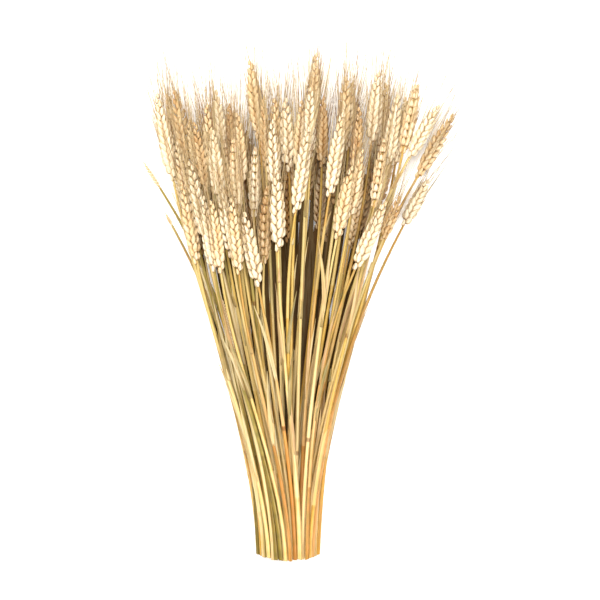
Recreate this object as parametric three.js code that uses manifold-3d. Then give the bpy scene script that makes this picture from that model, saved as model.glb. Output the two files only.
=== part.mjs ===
// A bundle of dried wheat, laid down on a surface.
// Millimetres. The stalks run along Y with their cut ends at -Y and their ears at +Y, X is across, Z is up.
// Each stalk is one piece: the straw, and the ear that grew on it.

import * as THREE from 'three';
import { mergeVertices } from 'three/addons/utils/BufferGeometryUtils.js';
import Module from 'manifold-3d';

const wasm = await Module();
wasm.setup();

// Straw: radius at the cut end, half way up and under the ear.
const CUT_RADIUS = 1.82;
const MID_RADIUS = 1.45;
const NECK_RADIUS = 0.95;
const SPRAY_CUT_RADIUS = 2.28;
const JOINED_LENGTH = 45;

// The cut ends: stems side by side in a course, and the arc that the cut makes across the bundle.
const STEM_PITCH = 3.95;
const SPRAY_SPACING = 1.0;
const HALF_BASE = 26;
const CUT_ARC = 4;
const CUT_RAGGED = 1.4;

// How the stalks lie on each other.
const AIR_GAP = 0.28;
const LAY_STEP = 2;
const LAY_PASSES = 25;
const BALANCE = 0.58;
const SAG = 1.5;
const DROOP = 0.14;
const START_LEAN = 0.15;
const RING_PLACES = [55, 120, 185, 245, 300];
const HIDDEN_RING_PLACES = [60, 130, 200, 270];
const SPRAY_KNOTS = [0, 60, 130, 200];
const LAST_SPAN = 25;

// Ears: relief of the spikelets, which overlap like tiles and stand out left and right in turn.
const SIDES = 5;
const EAR_PLUMP = 1.08;
const EAR_DEPTH_RATIO = 0.86;
const SPIKELETS_SHOWN = 6;
const SPIKELETS_HIDDEN = 3;
const SPIKELET_PINCH = 0.74;
const SPIKELET_EDGE = 0.006;
const RIDGE_SWAY = 0.22;
const EAR_ROLL = THREE.MathUtils.degToRad(38);

// Awns: the bristles at the tips of the husks.
const AWN_ROOT_RADIUS = 0.42;
const AWN_CLEARANCE = 0.3;
const AWN_REACH = [26, 46];
const AWN_SPREAD = [3, 12];
const AWN_TRIES = 30;
const AWNS_SHOWN = 4;
const AWN_PLACES = [0.5, 0.9];
const AWN_ROOT_DEPTH = 0.45;
const LONG_AWN_PLACE = 0.8;
const LONG_AWN_LIFT = 2;
const LONG_AWN_TRIES = 12;
const SLENDER_EAR = 2;
const FURTHEST = { along: 430, left: -124, right: 143.5 };

// Dry leaf blades that stayed on their stalks.
const BLADE_THICKNESS = 0.7;
const BLADE_STEPS = 7;
const BLADE_SINK = 0.5;
const BLADE_RISE = 2.2;
const BLADE_GAP = 0.8;

const SEED = 19;

// Edges and faces finer than this are merged away where pieces were joined.
const SLIVER = 0.01;

const TONES = {
  cream: { color: 0xeee0b4, roughness: 0.75 },
  tan: { color: 0xdcb880, roughness: 0.75 },
  brown: { color: 0xb98a52, roughness: 0.8 },
  green: { color: 0xc3b878, roughness: 0.7 },
};

// Stalks whose ears show from above, course by course from the lowest, left to right.
// tone, ear half width, tip across, tip along, foot of the ear across, foot along
const SHOWN_COURSES = {
  4: [
    ['green', 1.9, -120.8, 332, -106, 309],
    ['tan', 1.5, -102.5, 289, -96.4, 278],
    ['tan', 4.2, -101, 388, -90, 326],
    ['cream', 4.6, 98, 384, 89, 328],
    ['tan', 4.7, 138, 371, 107, 318],
  ],
  5: [
    ['brown', 4.8, -94, 390, -83, 330],
    ['tan', 4.4, -82, 365, -71, 309],
    ['brown', 4.0, -49, 378, -46, 322],
    ['tan', 5.0, -31, 414, -24, 350],
    ['brown', 3.6, -20, 384, -18, 326],
    ['tan', 4.6, 23, 420, 20, 357],
    ['brown', 4.4, 29, 384, 28, 326],
    ['tan', 4.4, 53, 396, 50, 340],
    ['brown', 4.4, 59, 375, 55, 320],
    ['tan', 4.6, 82, 396, 76, 339],
    ['tan', 5.0, 107, 394, 95, 338],
    ['cream', 4.7, 124, 377, 100, 334],
  ],
  6: [
    ['cream', 5.2, -109, 387, -95, 315],
    ['brown', 4.3, -77, 363, -67, 306],
    ['cream', 5.2, -60, 389, -55, 329],
    ['tan', 4.6, -42, 370, -38, 312],
    ['tan', 4.6, -11, 382, -9, 325],
    ['cream', 5.0, -2, 382, 1, 322],
    ['tan', 4.8, 48, 400, 44, 340],
    ['cream', 5.2, 75, 405, 69, 345],
    ['brown', 3.9, 93, 302, 78, 265],
    ['cream', 5.0, 91, 386, 82, 328],
    ['cream', 4.8, 117, 317, 96, 278],
  ],
  7: [
    ['green', 4.4, -92, 347, -80, 287],
    ['tan', 4.6, -67, 377, -62, 321],
    ['tan', 4.5, -53, 348, -49, 290],
    ['cream', 4.6, -27, 343, -28, 285],
    ['cream', 4.7, -13, 364, -11, 307],
    ['tan', 4.4, 12, 380, 8, 322],
    ['cream', 4.8, 19, 390, 16, 330],
    ['cream', 5.2, 45, 370, 34, 301],
    ['tan', 4.7, 61, 340, 51, 284],
    ['tan', 4.6, 80, 349, 71, 293],
  ],
  8: [
    ['tan', 4.7, -87, 310, -75, 246],
    ['cream', 4.9, -81, 330, -68, 264],
    ['cream', 5.0, -62, 355, -56, 297],
    ['cream', 4.8, -55, 310, -46, 251],
    ['tan', 4.6, -45, 348, -41, 289],
    ['brown', 4.8, -17, 310, -20, 246],
    ['cream', 5.1, 17, 357, 6, 287],
    ['tan', 4.9, 52, 326, 40, 266],
    ['cream', 5.1, 80, 297, 55, 241],
  ],
  9: [
    ['green', 1.9, -54, 216, -40, 163.5],
    ['cream', 4.9, -70, 301, -60.5, 239.5],
    ['tan', 4.6, -63, 297, -55, 238],
    ['tan', 4.5, -46, 299, -40, 237],
    ['cream', 5.2, -36, 287, -24, 227],
    ['cream', 5.3, -9, 323, -8, 256],
  ],
};

// Stalks underneath, fused at their cut ends into sprays: how many stand side by side in each spray.
const SPRAY_COURSES = { 1: [12], 2: [7, 6], 3: [6, 6], 4: [4, 4] };
const SPRAY_FAN = { 1: [-80, 68], 2: [-86, 74], 3: [-76, 70], 4: [-43, 51] };
const SPRAY_REACH = 376;
const SPRAY_SHORTER_EDGE = 0.0021;
const SPRAY_STAGGER = [0, 38, 16, 52];
const SPRAY_JITTER = 4;
const SPRAY_EAR = { length: 58, halfWidth: 4.4, spread: 5 };
const SPRAY_LEAN = [0.0022, 0.0034];
const SPRAY_TONES = ['tan', 'green', 'tan', 'tan', 'green'];
const COURSES = 9;

// Awns that reach furthest: stalk, and where the tip ends across and along.
const LONG_AWNS = [
  ['stalk_4_1', -123, 337],
  ['stalk_4_5', 143, 381],
  ['stalk_5_1', -93, 411],
  ['stalk_5_4', -28, 424],
  ['stalk_5_6', 22, 430],
  ['stalk_5_8', 55, 421],
  ['stalk_5_11', 104, 407],
  ['stalk_5_12', 127, 382],
  ['stalk_6_1', -111, 410],
  ['stalk_6_2', -78, 415],
  ['stalk_6_6', -7, 428],
  ['stalk_6_7', 32, 429],
  ['stalk_6_8', 76, 427],
  ['stalk_6_10', 94, 430],
];

// Blades: stalk, where the blade leaves it, sideways drift over its length, its length, its width.
const BLADES = [
  ['stalk_9_5', 150, -7, 62, 3.2],
  ['stalk_8_8', 205, -16, 62, 3.4],
  ['stalk_9_6', 118, 8, 58, 3.0],
  ['stalk_8_7', 172, 7, 52, 3.0],
  ['stalk_9_3', 135, -6, 52, 3.0],
  ['stalk_9_4', 96, 9, 62, 3.2],
  ['stalk_8_1', 150, 5, 50, 2.8],
];

// A repeatable draw between 0 and 1 for one stalk and one purpose.
function draw(index, salt) {
  let h = Math.imul(index + SEED, 0x9e3779b1) ^ Math.imul(salt + 1, 0x85ebca6b);
  h = Math.imul(h ^ (h >>> 15), 0x2c1b3c6d);
  h = Math.imul(h ^ (h >>> 12), 0x297a2d39);
  return ((h ^ (h >>> 15)) >>> 0) / 4294967296;
}

function between([low, high], share) {
  return low + (high - low) * share;
}

// Straw radius at a height: tapering in two stretches, fatter at the joined cut ends of a spray.
function strawRadius(stalk, y) {
  const middle = stalk.foot.y * 0.45;
  if (stalk.joined && y < JOINED_LENGTH) {
    return THREE.MathUtils.lerp(SPRAY_CUT_RADIUS, CUT_RADIUS * 0.95, y / JOINED_LENGTH);
  }
  if (y < middle) return THREE.MathUtils.lerp(CUT_RADIUS, MID_RADIUS, y / middle);
  return THREE.MathUtils.lerp(MID_RADIUS, NECK_RADIUS, (y - middle) / (stalk.foot.y - middle));
}

// Envelope of an ear, 0 at its foot to 1 at its tip, as a share of its half width.
function earSwell(t) {
  const rise = Math.min(1, Math.sqrt(Math.max(0, t) / 0.16));
  const fall = t > 0.6 ? 1 - 0.72 * ((t - 0.6) / 0.4) ** 1.8 : 1;
  return Math.max(0.16, rise * fall);
}

// Across place of a stalk: a curve from its slot to its ear's foot, then straight along the ear.
function curveAcross(stalk, y) {
  const { slot, foot, tip } = stalk;
  const endLean = (tip.x - foot.x) / (tip.y - foot.y);
  if (y >= foot.y) return foot.x + endLean * (y - foot.y);
  const startLean = (START_LEAN * (foot.x - slot)) / foot.y;
  const u = y / foot.y;
  const fromSlot = (2 * u ** 3 - 3 * u ** 2 + 1) * slot + (u ** 3 - 2 * u ** 2 + u) * foot.y * startLean;
  const toFoot = (3 * u ** 2 - 2 * u ** 3) * foot.x + (u ** 3 - u ** 2) * foot.y * endLean;
  return fromSlot + toFoot;
}

function makeStalk(index, name, tone, halfWidth, tip, foot, slot, joined) {
  const cut = CUT_ARC * (slot / HALF_BASE) ** 2 + CUT_RAGGED * draw(index, 7);
  const stalk = { index, name, tone, slot, joined, cut, halfWidth: halfWidth * EAR_PLUMP };
  stalk.tip = { x: tip[0], y: tip[1] };
  stalk.foot = { x: foot[0], y: foot[1] };
  stalk.roll = (draw(index, 3) - 0.5) * 2 * EAR_ROLL;
  const ringPlaces = joined ? HIDDEN_RING_PLACES : RING_PLACES;
  stalk.places = [cut, ...ringPlaces.filter((y) => y < stalk.foot.y - LAST_SPAN), stalk.foot.y];
  stalk.across = stalk.places.map((y) => curveAcross(stalk, y));
  stalk.radii = stalk.places.map((y) => strawRadius(stalk, y));
  stalk.places.push(stalk.tip.y);
  stalk.across.push(stalk.tip.x);
  return stalk;
}

function slotsOf(count) {
  return Array.from({ length: count }, (_, i) => (i - (count - 1) / 2) * STEM_PITCH);
}

// The units in the order that they are laid: a spray of hidden stalks, or one stalk that shows.
function makeUnits() {
  const units = [];
  let index = 0;
  for (let course = 1; course <= COURSES; course += 1) {
    const shown = SHOWN_COURSES[course] ?? [];
    const sprays = SPRAY_COURSES[course] ?? [];
    const hiddenCount = sprays.reduce((sum, n) => sum + n, 0);
    const slots = slotsOf(shown.length + hiddenCount);
    const leftShown = hiddenCount ? Math.ceil(shown.length / 2) : 0;
    const hiddenSlots = slots.slice(leftShown, leftShown + hiddenCount);
    const shownSlots = slots.filter((slot) => !hiddenSlots.includes(slot));
    let placed = 0;
    sprays.forEach((count, s) => {
      const members = [];
      const push = (s - (sprays.length - 1) / 2) * SPRAY_SPACING;
      for (let i = 0; i < count; i += 1) {
        members.push(hiddenStalk(index, course, placed, hiddenCount, hiddenSlots[placed] + push));
        index += 1;
        placed += 1;
      }
      const name = `spray_${course}_${s + 1}`;
      units.push({ name, members, tone: SPRAY_TONES[units.length % SPRAY_TONES.length] });
    });
    shown.forEach(([tone, halfWidth, tipX, tipY, footX, footY], i) => {
      const name = `stalk_${course}_${i + 1}`;
      let slot = shownSlots[i];
      if (hiddenCount) slot += Math.sign(slot) * SPRAY_SPACING;
      const stalk = makeStalk(index, name, tone, halfWidth, [tipX, tipY], [footX, footY], slot, false);
      units.push({ name, members: [stalk], tone });
      index += 1;
    });
  }
  return units;
}

function hiddenStalk(index, course, place, count, slot) {
  const jitter = (salt) => (draw(index, salt) - 0.5) * SPRAY_JITTER;
  const footX = between(SPRAY_FAN[course], place / (count - 1)) + jitter(11);
  const lean = footX * SPRAY_LEAN[footX < 0 ? 0 : 1];
  const length = SPRAY_EAR.length + SPRAY_EAR.spread * draw(index, 12);
  const stagger = SPRAY_STAGGER[(place + course) % SPRAY_STAGGER.length];
  const tipY = SPRAY_REACH - SPRAY_SHORTER_EDGE * footX ** 2 - stagger + jitter(13);
  const along = length / Math.hypot(1, lean);
  const foot = [footX, tipY - along];
  const tip = [footX + lean * along, tipY];
  return makeStalk(index, `hidden_${course}_${place}`, 'tan', SPRAY_EAR.halfWidth, tip, foot, slot, true);
}

// Straight stretches between a stalk's ring places.
function interpolate(places, values, y) {
  let i = 1;
  while (i < places.length - 1 && places[i] < y) i += 1;
  const share = (y - places[i - 1]) / (places[i] - places[i - 1]);
  return values[i - 1] + (values[i] - values[i - 1]) * share;
}

// Half width and half height of a stalk's section in the plane at y, outlines included.
function sectionAt(stalk, y) {
  const { foot, tip } = stalk;
  if (y >= foot.y) {
    const t = (y - foot.y) / (tip.y - foot.y);
    const swell = Math.max(earSwell(t - 0.03), earSwell(t), earSwell(t + 0.03));
    const lean = (tip.x - foot.x) / (tip.y - foot.y);
    const width = Math.max(stalk.halfWidth * swell, NECK_RADIUS);
    return { a: width * Math.hypot(1, lean), b: width * EAR_DEPTH_RATIO };
  }
  const lean = (foot.x - stalk.slot) / foot.y;
  const radius = interpolate(stalk.places, stalk.radii, y);
  return { a: radius * Math.hypot(1, lean * 1.4), b: radius };
}

// Lowest height at which a section clears the surface and everything laid before it.
function restHeight(laid, y, x, a, b) {
  let height = b;
  for (const other of laid) {
    if (y < other.from || y > other.to) continue;
    const k = Math.round((y - other.from) / LAY_STEP);
    const reach = a + other.a[k] + AIR_GAP;
    const aside = Math.abs(x - other.x[k]) / reach;
    if (aside >= 1) continue;
    const rise = (b + other.b[k] + AIR_GAP) * Math.sqrt(1 - aside * aside);
    height = Math.max(height, other.z[k] + rise);
  }
  return height;
}

// The straight line that a stiff unit would rest on, with its weight between two of the points that hold it up.
function restLine(points, balance) {
  const hull = [];
  for (const p of points) {
    while (hull.length > 1) {
      const [q, r] = hull.slice(-2);
      if ((r.z - q.z) * (p.y - q.y) > (p.z - q.z) * (r.y - q.y)) break;
      hull.pop();
    }
    hull.push(p);
  }
  let i = 1;
  while (i < hull.length - 1 && hull[i].y < balance) i += 1;
  const slope = (hull[i].z - hull[i - 1].z) / (hull[i].y - hull[i - 1].y);
  return (y) => hull[i - 1].z + slope * (y - hull[i - 1].y);
}

// Heights at the knots: the stiff line, then each knot in turn sinks as far as the straw bends.
function knotHeights(knots, points) {
  const line = restLine(points, BALANCE * points.at(-1).y);
  const heights = knots.map(line);
  for (let pass = 0; pass < LAY_PASSES; pass += 1) {
    for (let k = knots.length - 1; k >= 0; k -= 1) heights[k] = settled(k, knots, heights, points);
    for (let k = 0; k < knots.length; k += 1) heights[k] = settled(k, knots, heights, points);
  }
  return heights;
}

// How low one knot can sink with the others held: onto what lies below, or as far as straw bends.
function settled(k, knots, heights, points) {
  let slack = Infinity;
  for (const { y, z } of points) {
    const other = y < knots[k] || k === knots.length - 1 ? k - 1 : k + 1;
    if (other < 0) continue;
    const share = (y - knots[other]) / (knots[k] - knots[other]);
    if (share < 0.02) continue;
    slack = Math.min(slack, (heights[other] + (heights[k] - heights[other]) * share - z) / share);
  }
  const last = knots.length - 1;
  const slope = (a, b) => (heights[b] - heights[a]) / (knots[b] - knots[a]);
  const limits = [heights[k] - Math.max(0, slack - 1e-6)];
  if (k > 1) limits.push(heights[k - 1] + (slope(k - 2, k - 1) - DROOP) * (knots[k] - knots[k - 1]));
  if (k < last - 1) limits.push(heights[k + 1] - (slope(k + 1, k + 2) + DROOP) * (knots[k + 1] - knots[k]));
  if (k > 0 && k < last) limits.push(heights[k - 1] + slope(k - 1, k + 1) * (knots[k] - knots[k - 1]) - SAG);
  return Math.min(heights[k], Math.max(...limits));
}

// Lays one unit on what is there already: the straw bends over it and both ends come to rest.
function layUnit(unit, laid) {
  const sampled = unit.members.map((stalk) => {
    const from = Math.ceil(stalk.cut / LAY_STEP) * LAY_STEP;
    const to = Math.floor(stalk.tip.y / LAY_STEP) * LAY_STEP;
    const entry = { stalk, from, to, x: [], a: [], b: [], z: [] };
    for (let y = from; y <= to; y += LAY_STEP) {
      const { a, b } = sectionAt(stalk, y);
      entry.x.push(interpolate(stalk.places, stalk.across, y));
      entry.a.push(a);
      entry.b.push(b);
    }
    return entry;
  });
  const lowest = new Map();
  for (const entry of sampled) {
    entry.x.forEach((x, k) => {
      const y = entry.from + k * LAY_STEP;
      const height = restHeight(laid, y, x, entry.a[k], entry.b[k]);
      lowest.set(y, Math.max(height, lowest.get(y) ?? 0));
    });
  }
  const points = [...lowest].map(([y, z]) => ({ y, z })).sort((p, q) => p.y - q.y);
  const knots = unit.members.length > 1 ? [...SPRAY_KNOTS, points.at(-1).y] : unit.members[0].places;
  const heights = knotHeights(knots, points);
  for (const entry of sampled) {
    entry.stalk.heights = entry.stalk.places.map((y) => interpolate(knots, heights, y));
    entry.x.forEach((_, k) => entry.z.push(interpolate(knots, heights, entry.from + k * LAY_STEP)));
    laid.push(entry);
  }
}

// A closed skin over a row of rings with the same number of points.
function loft(rings) {
  const sides = rings[0].length;
  const positions = rings.flat().flatMap((p) => [p.x, p.y, p.z]);
  const index = [];
  for (let r = 0; r < rings.length - 1; r += 1) {
    for (let k = 0; k < sides; k += 1) {
      const a = r * sides + k;
      const b = r * sides + ((k + 1) % sides);
      index.push(a, b + sides, b, a, a + sides, b + sides);
    }
  }
  const last = (rings.length - 1) * sides;
  for (let k = 1; k < sides - 1; k += 1) {
    index.push(0, k, k + 1, last, last + k + 1, last + k);
  }
  const geometry = new THREE.BufferGeometry();
  geometry.setAttribute('position', new THREE.Float32BufferAttribute(positions, 3));
  geometry.setIndex(index);
  return geometry;
}

function toSolid(geometry) {
  const merged = mergeVertices(geometry, 1e-4);
  const mesh = new wasm.Mesh({
    numProp: 3,
    vertProperties: new Float32Array(merged.attributes.position.array),
    triVerts: new Uint32Array(merged.index.array),
  });
  return new wasm.Manifold(mesh);
}

function toGeometry(solid) {
  const { vertProperties, triVerts } = solid.getMesh();
  const geometry = new THREE.BufferGeometry();
  geometry.setAttribute('position', new THREE.BufferAttribute(vertProperties, 3));
  geometry.setIndex(new THREE.BufferAttribute(triVerts, 1));
  geometry.computeVertexNormals();
  return geometry;
}

// The ear's own directions: along it, across it in the flat, and up from it.
function earFrame(stalk) {
  const n = stalk.places.length;
  const foot = new THREE.Vector3(stalk.across[n - 2], stalk.places[n - 2], stalk.heights[n - 2]);
  const tip = new THREE.Vector3(stalk.across[n - 1], stalk.places[n - 1], stalk.heights[n - 1]);
  const along = tip.clone().sub(foot);
  const length = along.length();
  along.normalize();
  const side = new THREE.Vector3(along.y, -along.x, 0).normalize();
  const up = side.clone().cross(along);
  return { foot, tip, along, side, up, length };
}

// How far a side of the ear stands out at t: each husk widens up to its tip, then the next one starts.
function huskShare(t, count, phase) {
  const place = (t * count - phase) / 2;
  return SPIKELET_PINCH + (1 - SPIKELET_PINCH) * (place - Math.floor(place)) ** 0.8;
}

// Rings of the straw stand in planes across Y, those of the ear square to the ear.
function stalkRings(stalk) {
  const { places, across, heights, radii } = stalk;
  const turns = Array.from({ length: SIDES }, (_, k) => Math.PI / 2 + (2 * Math.PI * k) / SIDES);
  const rings = [];
  for (let i = 0; i < places.length - 1; i += 1) {
    const before = Math.max(0, i - 1);
    const lean = (across[i + 1] - across[before]) / (places[i + 1] - places[before]);
    const radius = radii[i];
    rings.push(turns.map((turn) => new THREE.Vector3(
      across[i] + radius * Math.cos(turn) * Math.hypot(1, lean),
      places[i],
      heights[i] + radius * Math.sin(turn),
    )));
  }
  return rings.concat(earRings(stalk, turns));
}

function earRings(stalk, turns) {
  const { foot, along, side, up, length } = earFrame(stalk);
  const count = stalk.joined ? SPIKELETS_HIDDEN : SPIKELETS_SHOWN;
  const levels = [0.05];
  for (let j = 1; j < count; j += 1) levels.push(j / count - SPIKELET_EDGE, j / count + SPIKELET_EDGE);
  levels.push(1);
  return levels.map((t) => {
    const width = Math.max(stalk.halfWidth * earSwell(t), 0.7);
    const [right, left] = [0, 1].map((phase) => huskShare(t, count, phase));
    const sway = RIDGE_SWAY * (right - left) / (1 - SPIKELET_PINCH);
    const centre = foot.clone().addScaledVector(along, t * length);
    return turns.map((turn) => {
      const aside = Math.cos(turn);
      const isRidge = Math.abs(aside) < 0.1;
      const p = width * (isRidge ? sway : aside * (aside > 0 ? right : left));
      const q = width * Math.sin(turn) * EAR_DEPTH_RATIO * (isRidge ? (right + left) / 2 : 1);
      return centre.clone()
        .addScaledVector(side, p * Math.cos(stalk.roll) - q * Math.sin(stalk.roll))
        .addScaledVector(up, p * Math.sin(stalk.roll) + q * Math.cos(stalk.roll));
    });
  });
}

// A three-sided needle from root to tip.
function needle(root, tip, radius) {
  const along = tip.clone().sub(root).normalize();
  const side = new THREE.Vector3(0, 0, 1).cross(along).normalize();
  const up = along.clone().cross(side);
  const ring = [0, 1, 2].map((k) => {
    const turn = (2 * Math.PI * k) / 3;
    return root.clone().addScaledVector(side, radius * Math.cos(turn)).addScaledVector(up, radius * Math.sin(turn));
  });
  const geometry = new THREE.BufferGeometry();
  geometry.setAttribute('position', new THREE.Float32BufferAttribute([...ring, tip].flatMap((p) => p.toArray()), 3));
  geometry.setIndex([0, 2, 1, 0, 1, 3, 1, 2, 3, 2, 0, 3]);
  return geometry;
}

// Shortest way between two straight stretches.
function stretchGap(p1, q1, p2, q2) {
  const d1 = q1.clone().sub(p1);
  const d2 = q2.clone().sub(p2);
  const r = p1.clone().sub(p2);
  const a = d1.dot(d1);
  const e = d2.dot(d2);
  const f = d2.dot(r);
  const c = d1.dot(r);
  const b = d1.dot(d2);
  const denominator = a * e - b * b;
  const clamp = (v) => Math.min(1, Math.max(0, v));
  let s = denominator > 1e-9 ? clamp((b * f - c * e) / denominator) : 0;
  let t = (b * s + f) / e;
  if (t < 0 || t > 1) {
    t = clamp(t);
    s = clamp((b * t - c) / a);
  }
  return p1.clone().addScaledVector(d1, s).distanceTo(p2.clone().addScaledVector(d2, t));
}

// The stalks and awns as fat stretches, which a new awn must clear.
function stretchesOf(stalk) {
  const points = stalk.places.map((y, i) => new THREE.Vector3(stalk.across[i], y, stalk.heights[i]));
  const stretches = [];
  for (let i = 0; i < points.length - 1; i += 1) {
    const isEar = i === points.length - 2;
    const radius = isEar ? stalk.halfWidth : stalk.radii[i];
    const end = isEar ? points[i].clone().lerp(points[i + 1], 0.93) : points[i + 1];
    stretches.push({ name: stalk.owner, from: points[i], to: end, radius });
  }
  return stretches;
}

function clearOf(stretches, owner, root, tip) {
  if (Math.min(root.z, tip.z) < AWN_ROOT_RADIUS) return false;
  if (tip.y > FURTHEST.along || tip.x < FURTHEST.left || tip.x > FURTHEST.right) return false;
  return stretches.every((s) => {
    if (s.name === owner) return true;
    return stretchGap(root, tip, s.from, s.to) > s.radius + AWN_ROOT_RADIUS + AWN_CLEARANCE;
  });
}

function awnCount(stalk) {
  if (stalk.joined) return stalk.index % 2;
  return stalk.halfWidth < SLENDER_EAR ? 0 : AWNS_SHOWN;
}

// Awns of one ear: the long one that is set, then draws spread evenly round the ear.
function placeAwns(stalk, stretches) {
  const count = awnCount(stalk);
  const { foot, along, side, up, length } = earFrame(stalk);
  const awns = [];
  const keep = (root, tip) => {
    awns.push({ root, tip });
    stretches.push({ name: stalk.owner, from: root, to: tip, radius: AWN_ROOT_RADIUS });
  };
  const rootAt = (t, turn) => {
    const width = stalk.halfWidth * earSwell(t) * AWN_ROOT_DEPTH;
    return foot.clone().addScaledVector(along, t * length)
      .addScaledVector(side, width * Math.cos(turn)).addScaledVector(up, width * Math.sin(turn));
  };
  const set = LONG_AWNS.find(([name]) => name === stalk.name);
  if (set) {
    for (let tried = 0; tried < LONG_AWN_TRIES; tried += 1) {
      const root = rootAt(LONG_AWN_PLACE, Math.PI / 2);
      const tip = new THREE.Vector3(set[1], set[2], stalk.heights.at(-1) + 1 + tried * LONG_AWN_LIFT);
      if (clearOf(stretches, stalk.owner, root, tip)) {
        keep(root, tip);
        break;
      }
    }
  }
  for (let i = awns.length; i < count; i += 1) {
    for (let tried = 0; tried < AWN_TRIES; tried += 1) {
      const salt = 100 + i * AWN_TRIES + tried;
      const turn = (2 * Math.PI * (i + 0.8 * draw(stalk.index, salt))) / count + 0.4;
      const root = rootAt(between(AWN_PLACES, draw(stalk.index, salt + 500)), turn);
      const spread = THREE.MathUtils.degToRad(between(AWN_SPREAD, draw(stalk.index, salt + 1000)));
      const reach = between(AWN_REACH, draw(stalk.index, salt + 1500)) * (stalk.halfWidth / 5);
      const run = length - root.clone().sub(foot).dot(along) + reach;
      const out = side.clone().multiplyScalar(Math.cos(turn)).addScaledVector(up, Math.sin(turn));
      const tip = root.clone().addScaledVector(along, run).addScaledVector(out, run * Math.tan(spread));
      if (clearOf(stretches, stalk.owner, root, tip)) {
        keep(root, tip);
        break;
      }
    }
  }
  return awns;
}

// A blade leaves its stalk, drifts sideways and lies over the stalks beside it.
function bladeGeometry(stalk, start, drift, length, width, laid) {
  const rings = [];
  const half = BLADE_THICKNESS / 2;
  const others = laid.filter((entry) => entry.stalk !== stalk);
  for (let i = 0; i <= BLADE_STEPS; i += 1) {
    const t = i / BLADE_STEPS;
    const y = start + length * t;
    const halfWidth = (width / 2) * (0.45 + 1.1 * Math.sqrt(t) * (1 - t) + 0.25 * (1 - t));
    const x = interpolate(stalk.places, stalk.across, y) + drift * t ** 1.6;
    const own = interpolate(stalk.places, stalk.heights, y) + (i < 2 ? -BLADE_SINK : BLADE_RISE);
    const gridY = Math.round(y / LAY_STEP) * LAY_STEP;
    const clear = restHeight(others, gridY, x, halfWidth * 1.15, half) + BLADE_GAP;
    const z = i < 2 ? own : Math.max(own, clear);
    rings.push([[1, 1], [-1, 1], [-1, -1], [1, -1]].map(([sx, sz]) => (
      new THREE.Vector3(x + sx * halfWidth, y, z + sz * half)
    )));
  }
  return loft(rings);
}

// The outer body alone: a hollow that joining sealed is filled, a loose scrap is dropped.
function outerBody(solid) {
  const bodies = solid.decompose();
  return bodies.reduce((largest, body) => (body.volume() > largest.volume() ? body : largest));
}

function buildUnit(unit, stretches, laid) {
  let solid = null;
  for (const stalk of unit.members) {
    const body = toSolid(loft(stalkRings(stalk)));
    solid = solid ? solid.add(body) : body;
    for (const { root, tip } of placeAwns(stalk, stretches)) {
      solid = solid.add(toSolid(needle(root, tip, AWN_ROOT_RADIUS)));
    }
    for (const [name, start, drift, length, width] of BLADES) {
      if (name !== stalk.name) continue;
      solid = solid.add(toSolid(bladeGeometry(stalk, start, drift, length, width, laid)));
    }
  }
  const { color, roughness } = TONES[unit.tone];
  const material = new THREE.MeshStandardMaterial({ color, roughness, metalness: 0 });
  const mesh = new THREE.Mesh(toGeometry(outerBody(solid).simplify(SLIVER)), material);
  mesh.name = unit.name;
  return mesh;
}

const bundle = new THREE.Group();
const laid = [];
const units = makeUnits();
for (const unit of units) {
  unit.members.forEach((stalk) => { stalk.owner = unit.name; });
  layUnit(unit, laid);
}
const stretches = units.flatMap((unit) => unit.members.flatMap(stretchesOf));
for (const unit of units) bundle.add(buildUnit(unit, stretches, laid));

// The origin is the middle of the box's underside.
const box = new THREE.Box3().setFromObject(bundle);
bundle.position.set(-(box.min.x + box.max.x) / 2, -(box.min.y + box.max.y) / 2, -box.min.z);

export default bundle;
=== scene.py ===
"""Looks of a bundle of dried wheat that lies on its back: golden straw, bearded ears, dry leaf blades."""
import math

import bmesh
import bpy
import numpy as np
from mathutils import Matrix, Vector


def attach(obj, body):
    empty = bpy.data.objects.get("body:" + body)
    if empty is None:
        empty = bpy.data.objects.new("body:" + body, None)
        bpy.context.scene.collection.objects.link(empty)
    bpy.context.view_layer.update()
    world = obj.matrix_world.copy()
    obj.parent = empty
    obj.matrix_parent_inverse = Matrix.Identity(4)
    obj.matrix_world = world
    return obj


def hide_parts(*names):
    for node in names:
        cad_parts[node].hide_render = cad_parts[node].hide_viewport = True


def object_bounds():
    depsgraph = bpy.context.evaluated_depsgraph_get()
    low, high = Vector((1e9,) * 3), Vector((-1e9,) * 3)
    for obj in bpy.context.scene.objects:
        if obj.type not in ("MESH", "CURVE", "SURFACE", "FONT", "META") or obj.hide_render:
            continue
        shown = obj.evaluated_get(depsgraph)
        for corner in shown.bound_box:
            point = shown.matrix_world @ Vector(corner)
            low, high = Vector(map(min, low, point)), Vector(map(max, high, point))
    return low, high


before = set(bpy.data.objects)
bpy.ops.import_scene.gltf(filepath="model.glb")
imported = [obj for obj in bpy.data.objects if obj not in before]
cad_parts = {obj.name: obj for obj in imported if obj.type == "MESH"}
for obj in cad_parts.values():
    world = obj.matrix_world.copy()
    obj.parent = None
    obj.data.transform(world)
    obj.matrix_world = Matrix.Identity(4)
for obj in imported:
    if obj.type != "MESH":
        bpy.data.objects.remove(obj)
cad_low, cad_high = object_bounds()

MM = 0.001
STRAW, SHEATH, HOLLOW, HUSK, AWN, LEAF = range(6)

# The photograph's framing: millimetres a pixel at the height of most ears, that height, and the pixels of
# the picture's middle, of the base's centre and of the cut.
PHOTO_SCALE = 0.83
PHOTO_LEVEL = 35
PHOTO_MIDDLE = 300
BASE_PX = 288
CUT_PX = 561
CAMERA_HEIGHT = 3000
SENSOR = 36

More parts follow.
